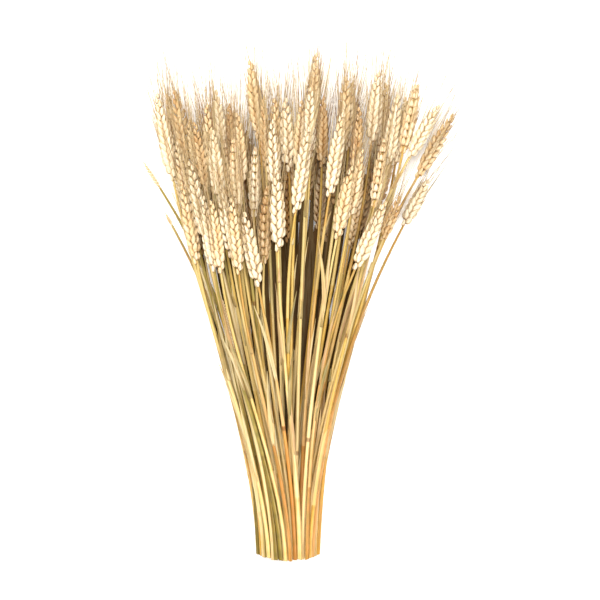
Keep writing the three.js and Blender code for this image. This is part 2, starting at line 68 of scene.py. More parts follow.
# How the stalks lie, in millimetres, as the solids have it: radii of a straw, the places at the cut, the
# bend of a straw, and where along it the solids have a ring.
CUT_RADIUS = 1.82
MID_RADIUS = 1.45
MID_SHARE = 0.45
NECK_RADIUS = 0.95
SPRAY_CUT_RADIUS = 2.28
STEM_PITCH = 3.95
SPRAY_SPACING = 1.0
HALF_BASE = 26
CUT_ARC = 4
CUT_RAGGED = 1.4
START_LEAN = 0.15
RING_PLACES = [55, 120, 185, 245, 300]
HIDDEN_RING_PLACES = [60, 130, 200, 270]
LAST_SPAN = 25
RING_CORNERS = 5
MERGED_SPAN = 8
TIP_REACH = 2
GAUGE_STALK = "stalk_5_6"
EAR_PLUMP = 1.08
EAR_ROLL = math.radians(38)

# Stalks whose ears show from above, course by course from the lowest, left to right:
# tone, ear half width, tip across and along, foot of the ear across and along.
SHOWN_COURSES = {
    4: [
        ("green", 1.9, -120.8, 332, -106, 309),
        ("tan", 1.5, -102.5, 289, -96.4, 278),
        ("tan", 4.2, -101, 388, -90, 326),
        ("cream", 4.6, 98, 384, 89, 328),
        ("tan", 4.7, 138, 371, 107, 318),
    ],
    5: [
        ("brown", 4.8, -94, 390, -83, 330),
        ("tan", 4.4, -82, 365, -71, 309),
        ("brown", 4.0, -49, 378, -46, 322),
        ("tan", 5.0, -31, 414, -24, 350),
        ("brown", 3.6, -20, 384, -18, 326),
        ("tan", 4.6, 23, 420, 20, 357),
        ("brown", 4.4, 29, 384, 28, 326),
        ("tan", 4.4, 53, 396, 50, 340),
        ("brown", 4.4, 59, 375, 55, 320),
        ("tan", 4.6, 82, 396, 76, 339),
        ("tan", 5.0, 107, 394, 95, 338),
        ("cream", 4.7, 124, 377, 100, 334),
    ],
    6: [
        ("cream", 5.2, -109, 387, -95, 315),
        ("brown", 4.3, -77, 363, -67, 306),
        ("cream", 5.2, -60, 389, -55, 329),
        ("tan", 4.6, -42, 370, -38, 312),
        ("tan", 4.6, -11, 382, -9, 325),
        ("cream", 5.0, -2, 382, 1, 322),
        ("tan", 4.8, 48, 400, 44, 340),
        ("cream", 5.2, 75, 405, 69, 345),
        ("brown", 3.9, 93, 302, 78, 265),
        ("cream", 5.0, 91, 386, 82, 328),
        ("cream", 4.8, 117, 317, 96, 278),
    ],
    7: [
        ("green", 4.4, -92, 347, -80, 287),
        ("tan", 4.6, -67, 377, -62, 321),
        ("tan", 4.5, -53, 348, -49, 290),
        ("cream", 4.6, -27, 343, -28, 285),
        ("cream", 4.7, -13, 364, -11, 307),
        ("tan", 4.4, 12, 380, 8, 322),
        ("cream", 4.8, 19, 390, 16, 330),
        ("cream", 5.2, 45, 370, 34, 301),
        ("tan", 4.7, 61, 340, 51, 284),
        ("tan", 4.6, 80, 349, 71, 293),
    ],
    8: [
        ("tan", 4.7, -87, 310, -75, 246),
        ("cream", 4.9, -81, 330, -68, 264),
        ("cream", 5.0, -62, 355, -56, 297),
        ("cream", 4.8, -55, 310, -46, 251),
        ("tan", 4.6, -45, 348, -41, 289),
        ("brown", 4.8, -17, 310, -20, 246),
        ("cream", 5.1, 17, 357, 6, 287),
        ("tan", 4.9, 52, 326, 40, 266),
        ("cream", 5.1, 80, 297, 55, 241),
    ],
    9: [
        ("green", 1.9, -54, 216, -40, 163.5),
        ("cream", 4.9, -70, 301, -60.5, 239.5),
        ("tan", 4.6, -63, 297, -55, 238),
        ("tan", 4.5, -46, 299, -40, 237),
        ("cream", 5.2, -36, 287, -24, 227),
        ("cream", 5.3, -9, 323, -8, 256),
    ],
}

# Hidden stalks: how many lie side by side in each spray, and how far each course fans out.
SPRAY_COURSES = {1: [12], 2: [7, 6], 3: [6, 6], 4: [4, 4]}
SPRAY_FAN = {1: (-80, 68), 2: (-86, 74), 3: (-76, 70), 4: (-43, 51)}
SPRAY_REACH = 376
SPRAY_SHORTER_EDGE = 0.0021
SPRAY_STAGGER = [0, 38, 16, 52]
SPRAY_JITTER = 4
SPRAY_EAR_LENGTH = 58
SPRAY_EAR_SPREAD = 5
SPRAY_HALF_WIDTH = 4.4
SPRAY_LEAN = (0.0022, 0.0034)
SPRAY_TONES = ["tan", "green", "tan", "tan", "green"]
HIDDEN_EAR_TONES = ("tan", "cream", "brown")
COURSES = 9

# Blades: where each leaves its stalk, sideways drift over its length, its length and its width.
BLADES = {
    "stalk_9_5": (150, -7, 62, 3.2),
    "stalk_8_8": (205, -16, 62, 3.4),
    "stalk_9_6": (118, 8, 58, 3.0),
    "stalk_8_7": (172, 7, 52, 3.0),
    "stalk_9_3": (135, -6, 52, 3.0),
    "stalk_9_4": (96, 9, 62, 3.2),
    "stalk_8_1": (150, 5, 50, 2.8),
}
BLADE_STEPS = 7
BLADE_FINER = 3

# Where the draws for each purpose start. A purpose with steps takes the numbers after it.
SEED = 19
SALTS = {
    "roll": 3, "cut": 7, "hidden_foot": 11, "hidden_ear": 12, "hidden_tip": 13, "hidden_tone": 14,
    "first_joint": 21, "sheathed": 24, "sheath_length": 27, "sheath_skew": 30, "sheath_side": 33,
    "next_joint": 36, "cut_slant": 39, "dark_joint": 44, "edge_on": 45, "spikelet_rise": 46, "ear_tone": 50,
    "spikelet_tone": 60, "blade_turn": 70, "blade_tone": 71, "straw_kind": 80, "straw_tone": 81, "girth": 83,
    "husk_lean": 100, "strip_start": 110, "strip_length": 114, "strip_lift": 118, "strip_bearing": 122,
    "strip_width": 126, "strip_turn": 130, "strip_tone": 134, "strip_drift": 138, "flap_length": 140,
    "flap_lift": 144, "flap_bearing": 148, "flap_turn": 152, "flap_tone": 156, "flap": 160, "strips": 164,
    "litter_start": 170, "litter_length": 174, "litter_width": 178, "litter_drift": 182, "litter_turn": 186,
    "litter_tone": 190, "ring": 400, "husk_tone": 500, "middle_lean": 900, "awned": 900, "awn_spread": 1300,
    "awn_front": 1700, "awn_length": 2100, "awn_thickness": 2500, "awn_shape": 2900, "awn_tone": 3300,
}

# What is drawn between: millimetres, shares, leans as slopes, and turns and bearings in radians. A bearing
# round the straw is 0 to the right and a quarter turn upwards. Girths are shares of the solid's.
RANGES = {
    "girth": (0.88, 1.16), "ring": (-0.015, 0.015), "cut_slant": (-0.7, 0.7), "first_joint": (30, 150),
    "next_joint": (105, 170), "sheath_length": (62, 115), "sheath_skew": (2.0, 5.5), "strips": (0, 4.4),
    "strip_start": (60, 215), "strip_length": (40, 95), "strip_width": (1.2, 2.6), "strip_drift": (-7, 7),
    "strip_lift": (0.3, 2.4), "strip_bearing": (0.9, 2.24), "strip_turn": (0, 0.9),
    "litter_start": (50, 220), "litter_length": (90, 160), "litter_width": (7, 12), "litter_drift": (-8, 8),
    "litter_turn": (-0.25, 0.25), "flap_length": (5, 15), "flap_lift": (0.8, 3.6),
    "flap_bearing": (0.5, 2.64), "flap_turn": (-0.5, 0.5),
    "spikelet_rise": (0.92, 1.1), "husk_lean": (-0.06, 0.06), "middle_lean": (-0.07, 0.07),
    "ear_tone": (-0.05, 0.05), "spikelet_tone": (-0.1, 0.1), "husk_tone": (-0.08, 0.08),
    "awn_spread": (0.02, 0.2), "awn_front": (0.0, 0.16), "awn_thickness": (0.2, 0.34),
}

# Straw: its rings, and those of its cut end, each with its place from the cut, its share of the straw's
# radius and its finish.
STRAW_SIDES = 10
RING_STEP = 13
RING_CLEAR = 4
LAST_RING = 6
CUT_PROFILE = [(8, 0.6, HOLLOW), (0.3, 0.7, HOLLOW), (0, 0.94, STRAW), (0.25, 1, STRAW)]
CUT_STRAIGHT = 2
EAR_STEM = [(0.3, 0.85), (0.6, 0.7), (0.9, 0.4)]

# Joints of the straw: places from the middle of one, shares of the straw's radius and of the dark mark.
JOINTS = 2
JOINT_TO_EAR = 60
JOINT_PROFILE = [(-2.6, 1, 0), (-1, 1.07, 1), (0.9, 1.1, 1)]
JOINT_TOP = 2.4
JOINT_FADE = 0.1
DARK_JOINT_SHARE = 0.16
PALE_JOINT = 0.3

# Leaf sheaths above the joints, and the torn flap at the end of some.
SHEATHED_SHARE = 0.75
SHEATH_THICKNESS = 0.16
SHEATH_EDGE = 0.6
SHEATH_TO_EAR = 22
SHEATH_TO_JOINT = 12
FLAP_SHARE = 0.6
FLAP_OVERLAP = 3
FLAP_STEPS = 5

# Leaf strips, and the broad dark litter inside the bundle, sheets of painted shade that fill the gaps, which
# are narrower and straighter at the bundle's edge.
STRIP_STEPS = 10
STRIP_PAST_FOOT = 4
SHADE_LITTER_LEAVES = 7
LITTER_PAST_FOOT = 24
LITTER_FLATTER = 0.7
LITTER_AT_EDGE = (0.4, 0.3)
LEAF_THICKNESS = 0.14
LEAF_FOLD = 0.44

# Where a straw stands in its tones: the draw below which it is cream, golden or ruddy, and the place in the
# ramp. Past the last it is olive.
STRAW_KINDS = [(0.27, (-0.04, 0.14)), (0.62, (0.26, 0.46)), (0.8, (0.58, 0.74))]
OLIVE = (0.84, 1.0)

# Inner straws are painted dull and dark as shade inside the bundle, but not at their cut ends: the span over
# which that fades.
INNER_SHADE_FIRST_COURSE = 0.6
INNER_SHADE_FADE = (8, 20)

# Ears. A husk's width, depth and length and the rise from one spikelet to the next are shares of the half
# width. Each husk's root is to the side, outwards and up the axis from the middle, in shares of the
# spikelet's size. It leans to the side and outwards, and its size is a share of a full husk's.
HUSK_SIZE = (0.52, 0.36, 1.95)
SPIKELET_RISE = 0.6
EAR_FILL = 0.94
TOP_HUSK = 0.66
FOOT_GAP = 0.4
FEWEST_SPIKELETS = 9
LEMMA_ROOT, LEMMA_LEAN = (0.02, 0.24, 0), (0.43, 0.3)
GLUME_ROOT, GLUME_LEAN, GLUME_SHARE = (0.12, 0.3, -0.1), (0.36, 0.34), (0.8, 0.7, 0.66)
MIDDLE_ROOT, MIDDLE_LEAN, MIDDLE_SHARE = (0.34, 0, -0.08), 0.48, (0.94, 1, 0.84)
TIP_HUSK = (1.6, 1.7)
EDGE_ON_SHARE = 0.14
SLENDER_EAR = 2.5
SLENDER_SHARE = 0.8
SLENDER_TONE = 0.5
EAR_TONES = {"cream": 0.2, "tan": 0.5, "brown": 0.74, "green": 0.34}
TONE_RISE = 0.14
GLUME_PALER = 0.08
MIDDLE_PALER = 0.05
HUSK_DRAWS = 8

# Awns: length in millimetres on an ear of full width, place of the root as a share of the husk's length, and
# how many husks of a hidden and of a shown ear have one.
AWN_STEPS = 5
AWN_GRAIN = 45
AWN_TIP_SHARE = 0.24
AWN_LENGTH = (27, 82)
AWN_ROOT = 0.9
AWN_SHARES = (0.5, 0.9)
FULL_HALF_WIDTH = 5

# Looks: the sheen of the outer stalks, how long a patch of one tone is and how far it shifts the tone.
SHEEN = 0.28
PATCH = 9
PATCH_SHARE = 0.4
FLOOR_GAP = 0.15 * MM
FLOOR_HALF = 8


def draw(index, purpose, step=0):
    """A repeatable draw between 0 and 1 for one stalk, one purpose and one step of it."""
    low_bits = 0xFFFFFFFF
    salt = SALTS[purpose] + step
    h = ((index + SEED) * 0x9E3779B1 & low_bits) ^ ((salt + 1) * 0x85EBCA6B & low_bits)
    h = (h ^ (h >> 15)) * 0x2C1B3C6D & low_bits
    h = (h ^ (h >> 12)) * 0x297A2D39 & low_bits
    return (h ^ (h >> 15)) / (low_bits + 1)


def between(low, high, share):
    return low + (high - low) * share


def widening(first, full_at, t):
    """From a first share at 0 to the whole where t comes to full_at."""
    return first + (1 - first) * min(1, t / full_at)


def hermite(start, end, start_slope, end_slope, u):
    """A smooth curve from start to end, with a slope at each."""
    from_start = (2 * u**3 - 3 * u**2 + 1) * start + (u**3 - 2 * u**2 + u) * start_slope
    to_end = (3 * u**2 - 2 * u**3) * end + (u**3 - u**2) * end_slope
    return from_start + to_end


class Stalk:
    """One grown stalk: straw and ear. Places are in millimetres from the middle of the cut ends."""

    def __init__(self, index, name, tone, half_width, tip, foot, slot, joined):
        self.index, self.name, self.tone, self.slot, self.joined = index, name, tone, slot, joined
        self.half_width = half_width * EAR_PLUMP
        self.tip, self.foot = tip, foot
        self.girth = self.measure("girth")
        self.cut = CUT_ARC * (slot / HALF_BASE) ** 2 + CUT_RAGGED * self.draw("cut")
        self.roll = (self.draw("roll") - 0.5) * 2 * EAR_ROLL
        rings = HIDDEN_RING_PLACES if joined else RING_PLACES
        self.places = [self.cut] + [y for y in rings if y < foot[1] - LAST_SPAN] + [foot[1]]
        self.heights = []
        self.depth = self.inner = 0

    def draw(self, purpose, step=0):
        return draw(self.index, purpose, step)

    def measure(self, purpose, step=0):
        return between(*RANGES[purpose], self.draw(purpose, step))

    def radius(self, y):
        middle = self.foot[1] * MID_SHARE
        if y < middle:
            return self.girth * between(CUT_RADIUS, MID_RADIUS, y / middle)
        share = min(1, (y - middle) / (self.foot[1] - middle))
        return between(self.girth * MID_RADIUS, NECK_RADIUS, share)

    def across(self, y):
        """A curve from the slot to the ear's foot, then straight along the ear."""
        end_lean = (self.tip[0] - self.foot[0]) / (self.tip[1] - self.foot[1])
        if y >= self.foot[1]:
            return self.foot[0] + end_lean * (y - self.foot[1])
        start_lean = START_LEAN * (self.foot[0] - self.slot) / self.foot[1]
        span = self.foot[1]
        return hermite(self.slot, self.foot[0], span * start_lean, span * end_lean, y / span)

    def height(self, y):
        """A smooth line through the heights that the node's rings have."""
        places, heights = [*self.places, self.tip[1]], self.heights
        i = 1
        while i < len(places) - 1 and places[i] < y:
            i += 1
        span = places[i] - places[i - 1]
        u = (y - places[i - 1]) / span
        if i == len(places) - 1:
            return between(heights[-2], heights[-1], u)

        def slope(k):
            before = max(0, k - 1)
            return (heights[k + 1] - heights[before]) / (places[k + 1] - places[before])

        return hermite(heights[i - 1], heights[i], span * slope(i - 1), span * slope(i), u)

    def point(self, y):
        return Vector((self.across(y), y, self.height(y)))

    def along(self, y):
        return (self.point(y + 2) - self.point(y - 2)).normalized()


def slots_of(count):
    return [(i - (count - 1) / 2) * STEM_PITCH for i in range(count)]


def hidden_stalk(index, course, place, count, slot):
    """A stalk of a spray: its ear follows the course's fan, drawn in at the edge and staggered."""
    def jitter(purpose):
        return (draw(index, purpose) - 0.5) * SPRAY_JITTER

    foot_x = between(*SPRAY_FAN[course], place / (count - 1)) + jitter("hidden_foot")
    lean = foot_x * SPRAY_LEAN[0 if foot_x < 0 else 1]
    length = SPRAY_EAR_LENGTH + SPRAY_EAR_SPREAD * draw(index, "hidden_ear")
    stagger = SPRAY_STAGGER[(place + course) % len(SPRAY_STAGGER)]
    tip_y = SPRAY_REACH - SPRAY_SHORTER_EDGE * foot_x**2 - stagger + jitter("hidden_tip")
    rise = length / math.hypot(1, lean)
    tip, foot = (foot_x + lean * rise, tip_y), (foot_x, tip_y - rise)
    tone = HIDDEN_EAR_TONES[int(len(HIDDEN_EAR_TONES) * draw(index, "hidden_tone"))]
    stalk = Stalk(index, f"hidden_{course}_{place}", tone, SPRAY_HALF_WIDTH, tip, foot, slot, True)
    stalk.depth = min(place, count - 1 - place)
    # Stalks away from the spray's edge are painted dark as shade, less in the lowest course.
    if stalk.depth:
        stalk.inner = 1 if course > 1 else INNER_SHADE_FIRST_COURSE
    return stalk


def grow_units():
    """Each node's name, its material slot and its stalks, in the order that they lie."""
    units, index = [], 0
    for course in range(1, COURSES + 1):
        shown, sprays = SHOWN_COURSES.get(course, []), SPRAY_COURSES.get(course, [])
        hidden = sum(sprays)
        slots = slots_of(len(shown) + hidden)
        first = math.ceil(len(shown) / 2) if hidden else 0
        hidden_slots, shown_slots = slots[first:first + hidden], slots[:first] + slots[first + hidden:]
        placed = 0
        for s, count in enumerate(sprays):
            push = (s - (len(sprays) - 1) / 2) * SPRAY_SPACING
            members = []
            for _ in range(count):
                members.append(hidden_stalk(index, course, placed, hidden, hidden_slots[placed] + push))
                index += 1
                placed += 1
            units.append((f"spray_{course}_{s + 1}", SPRAY_TONES[len(units) % len(SPRAY_TONES)], members))
        for i, (tone, half_width, tip_x, tip_y, foot_x, foot_y) in enumerate(shown):
            slot = shown_slots[i]
            if hidden:
                slot += math.copysign(SPRAY_SPACING, slot)
            name = f"stalk_{course}_{i + 1}"
            stalk = Stalk(index, name, tone, half_width, (tip_x, tip_y), (foot_x, foot_y), slot, False)
            units.append((name, tone, [stalk]))
            index += 1
    return units


units = grow_units()


def corners(node):
    """The node's own corners, once each, in millimetres in the row frame."""
    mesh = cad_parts[node].data
    places = np.zeros(len(mesh.vertices) * 3)
    mesh.vertices.foreach_get("co", places)
    return np.unique(np.round(places.reshape(-1, 3) / MM, 3), axis=0)


def at_place(points, y, slack=0.02):
    return np.abs(points[:, 1] - y) < slack


# The row frame's origin is the middle of the box's underside: the shift from the cut ends' middle follows.
node_corners = {name: corners(name) for name, _, _ in units}
shift_y = min(s.cut for _, _, members in units for s in members) - cad_low.y / MM
gauge = next(members[0] for name, _, members in units if name == GAUGE_STALK)
gauge_ring = node_corners[gauge.name]
gauge_ring = gauge_ring[at_place(gauge_ring, RING_PLACES[0] - shift_y)]
shift_x = gauge.across(RING_PLACES[0]) - gauge_ring[:, 0].mean()
to_row = Vector((-shift_x, -shift_y, 0))
for name in node_corners:
    node_corners[name] = node_corners[name] + np.array([shift_x, shift_y, 0])


def ring_height(points, stalk, y):
    """Height of the straw's middle at one of its rings, or None where the ring was merged with others."""
    reach = 1.5 * max(stalk.radius(y), SPRAY_CUT_RADIUS if stalk.joined else 0)
    near = points[at_place(points, y) & (np.abs(points[:, 0] - stalk.across(y)) < reach)]
    return near[:, 2].mean() if len(near) == RING_CORNERS else None


def read_heights(stalk, points):
    """Takes the heights of the stalk's line from its node's rings and the tip of its ear."""
    found = [(y, ring_height(points, stalk, y)) for y in stalk.places]
    if found[0][1] is None:
        near = points[(points[:, 1] < MERGED_SPAN) & (np.abs(points[:, 0] - stalk.slot) < SPRAY_CUT_RADIUS)]
        found[0] = (stalk.cut, near[:, 2].max() - SPRAY_CUT_RADIUS)
    known = [(y, z) for y, z in found if z is not None]
    stalk.heights = list(np.interp(stalk.places, [y for y, _ in known], [z for _, z in known]))
    near = points[np.hypot(points[:, 0] - stalk.tip[0], points[:, 1] - stalk.tip[1]) < TIP_REACH]
    if stalk.joined or not len(near):
        (y1, z1), (y2, z2) = known[-2:]
        stalk.heights.append(z2 + (z2 - z1) / (y2 - y1) * (stalk.tip[1] - y2))
    else:
        stalk.heights.append((near[:, 2].min() + near[:, 2].max()) / 2)


for name, _, members in units:
    for stalk in members:
        read_heights(stalk, node_corners[name])


def new_mesh():
    """An empty bmesh with what the materials and the tubes need: the grain laid flat, the place in a tone
    ramp, the share of a husk's or leaf's length, the mark of a joint or the painted shade of a husk margin,
    the turn round a tube, the millimetres along the stalk and the share of painted shade it takes inside the
    bundle."""
    bm = bmesh.new()
    bm.loops.layers.uv.new("grain")
    for layer in ("tone", "along", "mark", "turn", "reach", "inner"):
        bm.verts.layers.float.new(layer)
    return bm


def layers_of(bm, *names):
    return [bm.verts.layers.float[name] for name in names]


def tube(bm, rings, sides):
    """A closed skin over rings: middle, direction, radius, lengthwise skew, reach, mark, finish."""
    turn, reach, mark, along = layers_of(bm, "turn", "reach", "mark", "along")
    loop = bmesh.ops.create_circle(bm, segments=sides, radius=1)["verts"]
    for k, v in enumerate(loop):
        v[turn] = k / sides
    edges = list({e for v in loop for e in v.link_edges})
    faces = bmesh.ops.contextual_create(bm, geom=edges)["faces"]
    for i, (middle, direction, radius, skew, reached, marked, finish) in enumerate(rings):
        if i:
            grown = bmesh.ops.extrude_edge_only(bm, edges=edges)["geom"]
            loop = [g for g in grown if isinstance(g, bmesh.types.BMVert)]
            edges = [g for g in grown if isinstance(g, bmesh.types.BMEdge)]
            walls = [g for g in grown if isinstance(g, bmesh.types.BMFace)]
            faces += walls
            for face in walls:
                face.material_index = finish
        side = direction.cross(Vector((0, 0, 1))).normalized()
        up = side.cross(direction)
        for v in loop:
            angle = 2 * math.pi * v[turn]
            lean = direction * skew * math.cos(angle)
            v.co = middle + (side * math.cos(angle) + up * math.sin(angle)) * radius + lean
            v[reach], v[mark], v[along] = reached, marked, 0.5
    faces += bmesh.ops.contextual_create(bm, geom=edges)["faces"]
    faces[0].material_index = rings[0][-1]
    bmesh.ops.recalc_face_normals(bm, faces=faces)
    unroll(bm, faces, 2 * math.pi * MID_RADIUS)
    return faces


def unroll(bm, faces, girth):
    """Lays the grain out in millimetres: round the straw and along it."""
    turn, reach = layers_of(bm, "turn", "reach")
    grain = bm.loops.layers.uv["grain"]
    for face in faces:
        turns = [loop.vert[turn] for loop in face.loops]
        wraps = max(turns) - min(turns) > 0.5
        for loop, t in zip(face.loops, turns):
            loop[grain].uv = ((t + 1 if wraps and t < 0.5 else t) * girth, loop.vert[reach])


def straw_rings(stalk):
    """The straw: a hollow cut end, joints with the sheath of a leaf above some, then the stem of the ear."""
    foot_y = stalk.foot[1]
    events, sheaths = [], []
    place = stalk.measure("first_joint")
    for k in range(JOINTS):
        if place > foot_y - JOINT_TO_EAR:
            break
        radius = stalk.radius(place)
        sheathed = stalk.draw("sheathed", k) < SHEATHED_SHARE
        mark = 1 if stalk.draw("dark_joint", k) < DARK_JOINT_SHARE else PALE_JOINT
        end = min(place + stalk.measure("sheath_length", k), foot_y - SHEATH_TO_EAR)
        for aside, swell, shown in JOINT_PROFILE:
            events.append((place + aside, radius * swell, 0, mark * shown, STRAW))
        events.append((place + JOINT_TOP, radius + SHEATH_THICKNESS * sheathed, 0, JOINT_FADE, STRAW))
        if sheathed:
            side = 1 if stalk.draw("sheath_side", k) < 0.5 else -1
            skew = side * stalk.measure("sheath_skew", k)
            bare = stalk.radius(end)
            events.append((end, bare + SHEATH_THICKNESS, skew, 0, SHEATH))
            events.append((end + SHEATH_EDGE, bare, skew, 0, SHEATH))
            sheaths.append((place + JOINT_TOP, end))
        place = max(place + stalk.measure("next_joint", k), end + SHEATH_TO_JOINT)

    rings = list(events)
    y = stalk.cut + RING_STEP
    while y < foot_y - LAST_RING:
        if all(abs(y - event[0]) > RING_CLEAR + abs(event[2]) for event in events):
            radius = stalk.radius(y) * (1 + stalk.measure("ring", int(y)))
            wrapped = any(low < y < high for low, high in sheaths)
            rings.append((y, radius + SHEATH_THICKNESS * wrapped, 0, 0, SHEATH if wrapped else STRAW))
        y += RING_STEP
    rings.sort(key=lambda ring: ring[0])

    cut_radius = stalk.radius(stalk.cut)
    slant = stalk.measure("cut_slant")
    start = []
    for aside, share, finish in CUT_PROFILE:
        start.append((stalk.cut + aside, cut_radius * share, slant, 0, finish))
    made = []
    for y, radius, skew, mark, finish in start + rings + [(foot_y, NECK_RADIUS, 0, 0, STRAW)]:
        direction = stalk.along(max(y, stalk.cut + CUT_STRAIGHT))
        made.append((stalk.point(y), direction, radius, skew, y, mark, finish))
    return made, [end for _, end in sheaths]


def ear_frame(stalk):
    foot, tip = stalk.point(stalk.foot[1]), stalk.point(stalk.tip[1])
    axis = (tip - foot).normalized()
    side = Vector((axis.y, -axis.x, 0)).normalized()
    up = side.cross(axis)
    edge_on = math.pi / 2 if stalk.draw("edge_on") < EDGE_ON_SHARE else 0
    turn = Matrix.Rotation(stalk.roll + edge_on, 3, axis)
    return foot, tip, axis, turn @ side, turn @ up


def kept_shape(name, bm):
    shape = bpy.data.meshes.new(name)
    bm.to_mesh(shape)
    bm.free()
    return shape


def husk_shape(name, pointed, belly, keel, sides):
    """One husk, a unit long and a unit to each side: narrow foot, plump belly, drawn-out tip, outer keel."""
    bm = new_mesh()
    grain = bm.loops.layers.uv["grain"]
    along, margin = layers_of(bm, "along", "mark")
    bmesh.ops.create_uvsphere(bm, u_segments=sides, v_segments=6, radius=1)
    for v in bm.verts:
        t = (v.co.z + 1) / 2
        # How far the skin turns to the husk's flank; the chaff darkens it there as painted shade.
        v[margin] = abs(v.co.x) / max(0.01, math.hypot(v.co.x, v.co.y))
        slim = (1 - pointed * t**2) * widening(0.5, 0.32, t)
        on_keel = max(0, v.co.y) * max(0, 1 - 3 * abs(v.co.x))
        v.co.x *= slim
        v.co.y = v.co.y * slim * (1 + keel * on_keel) + belly * math.sin(math.pi * t)
        v.co.z = t
        v[along] = t
    for face in bm.faces:
        face.material_index = HUSK
        for loop in face.loops:
            loop[grain].uv = (loop.vert.co.x * 2.2, loop.vert.co.z * 11)
    return kept_shape(name, bm)


def awn_shape(name, bow):
    """One awn, a unit long: three-sided, tapering to a hair, bowed a little outwards."""
    bm = new_mesh()
    upwards = Vector((0, 0.001, 1)).normalized()
    rings = []
    for k in range(AWN_STEPS + 1):
        t = k / AWN_STEPS
        middle = Vector((0, bow * math.sin(math.pi * t * 0.8), t))
        rings.append((middle, upwards, between(1, AWN_TIP_SHARE, t), 0, t * AWN_GRAIN, 0, AWN))
    for face in tube(bm, rings, 3):
        face.material_index = AWN
    along = layers_of(bm, "along")[0]
    for v in bm.verts:
        v[along] = v.co.z
    return kept_shape(name, bm)


lemma = husk_shape("lemma", pointed=0.46, belly=0.3, keel=0.15, sides=8)
glume = husk_shape("glume", pointed=0.3, belly=0.16, keel=0.4, sides=8)
plain_husk = husk_shape("plain_husk", pointed=0.46, belly=0.28, keel=0, sides=6)
awns = [awn_shape("awn_straight", 0.006), awn_shape("awn_bowed", 0.03), awn_shape("awn_hooked", -0.022)]


def set_down(bm, shape, root, direction, outward, scale, tone_value):
    """Adds a copy of a husk or awn with its root, direction and outer face, so wide, deep and long."""
    z = direction.normalized()
    y = (outward - z * outward.dot(z)).normalized()
    x = y.cross(z)
    turned = Matrix([axis * length for axis, length in zip((x, y, z), scale)]).transposed().to_4x4()
    before = len(bm.verts)
    bm.from_mesh(shape)
    bm.verts.ensure_lookup_table()
    fresh = bm.verts[before:]
    bmesh.ops.transform(bm, matrix=Matrix.Translation(root) @ turned, verts=fresh)
    tone = layers_of(bm, "tone")[0]
    for v in fresh:
        v[tone] = tone_value


def ear_swell(t):
    """How large the spikelets are from the foot, 0, to the tip, 1."""
    rise = 0.6 + 0.4 * math.sin(math.pi / 2 * min(1, t / 0.22))
    return rise * (1 - 0.55 * max(0, (t - 0.5) / 0.5) ** 1.6)


def husk_scale(size, share=(1, 1, 1)):
    return [full * part * size for full, part in zip(HUSK_SIZE, share)]


def grow_ear(bm, stalk):
    """Spikelets left and right in turn, each with two glumes, two lemmas with awns and a middle husk."""
    foot, tip, axis, side, up = ear_frame(stalk)
    length, wide = (tip - foot).length, stalk.half_width
    rise = SPIKELET_RISE * stalk.measure("spikelet_rise")
    count = max(FEWEST_SPIKELETS, round(length * EAR_FILL / (rise * wide)))
    slender = wide < SLENDER_EAR
    base_tone = (SLENDER_TONE if slender else EAR_TONES[stalk.tone]) + stalk.measure("ear_tone")
    full_husk = plain_husk if stalk.joined else lemma
    for i in range(count):
        t = i / (count - 1)
        size = wide * ear_swell(t) * (SLENDER_SHARE if slender else 1)
        lean = (1 - 0.6 * t**4) * widening(0.5, 0.16, t)
        hand = side if i % 2 else -side
        middle = foot + axis * (t * (length - HUSK_SIZE[2] * size * TOP_HUSK) + FOOT_GAP)
        tone = base_tone + stalk.measure("spikelet_tone", i) + TONE_RISE * (t - 0.4)

        def seat(root, front):
            return middle + (hand * root[0] + front * root[1] + axis * root[2]) * size

        for k, front in enumerate((up, -up)):
            step = HUSK_DRAWS * i + k
            loose = stalk.measure("husk_lean", step)
            husk_tone = tone + stalk.measure("husk_tone", step)
            root, scale = seat(LEMMA_ROOT, front), husk_scale(size)
            direction = axis + hand * (lean * LEMMA_LEAN[0] + loose) + front * (lean * LEMMA_LEAN[1] + loose)
            set_down(bm, full_husk, root, direction, hand * 0.5 + front, scale, husk_tone)
            if not slender and stalk.draw("awned", step) < awn_share(stalk, t):
                end = root + direction.normalized() * (scale[2] * AWN_ROOT)
                grow_awn(bm, stalk, step, end, axis, hand, front, t)
            if not stalk.joined:
                direction = axis + hand * (GLUME_LEAN[0] + loose) + front * GLUME_LEAN[1]
                set_down(bm, glume, seat(GLUME_ROOT, front), direction, hand + front,
                         husk_scale(size, GLUME_SHARE), husk_tone - GLUME_PALER)
        if i:
            loose = stalk.measure("middle_lean", i)
            direction = axis + hand * (lean * MIDDLE_LEAN + loose) + up * loose
            set_down(bm, full_husk, seat(MIDDLE_ROOT, up), direction, hand,
                     husk_scale(size, MIDDLE_SHARE), tone - MIDDLE_PALER)
    size = wide * ear_swell(1)
    scale = (*husk_scale(size)[:2], TIP_HUSK[1] * size)
    set_down(bm, lemma, tip - axis * (TIP_HUSK[0] * size), axis, up, scale, base_tone)


def awn_share(stalk, t):
    """Fewer husks near the tip keep their awn, and the awns of the lower ones pass along the ear."""
    return AWN_SHARES[0 if stalk.joined else 1] * between(1, 0.5, max(0, t - 0.4) / 0.6)


def grow_awn(bm, stalk, step, root, axis, outward, front, t):
    direction = axis + outward * stalk.measure("awn_spread", step) + front * stalk.measure("awn_front", step)
    length = between(*AWN_LENGTH, stalk.draw("awn_length", step) ** 1.3) * widening(0.6, 0.4, t)
    thick = stalk.measure("awn_thickness", step)
    scale = (thick, thick, length * stalk.half_width / FULL_HALF_WIDTH)
    shape = awns[int(len(awns) * stalk.draw("awn_shape", step))]
    set_down(bm, shape, root, direction, outward + front * 0.5, scale, stalk.draw("awn_tone", step) ** 1.5)


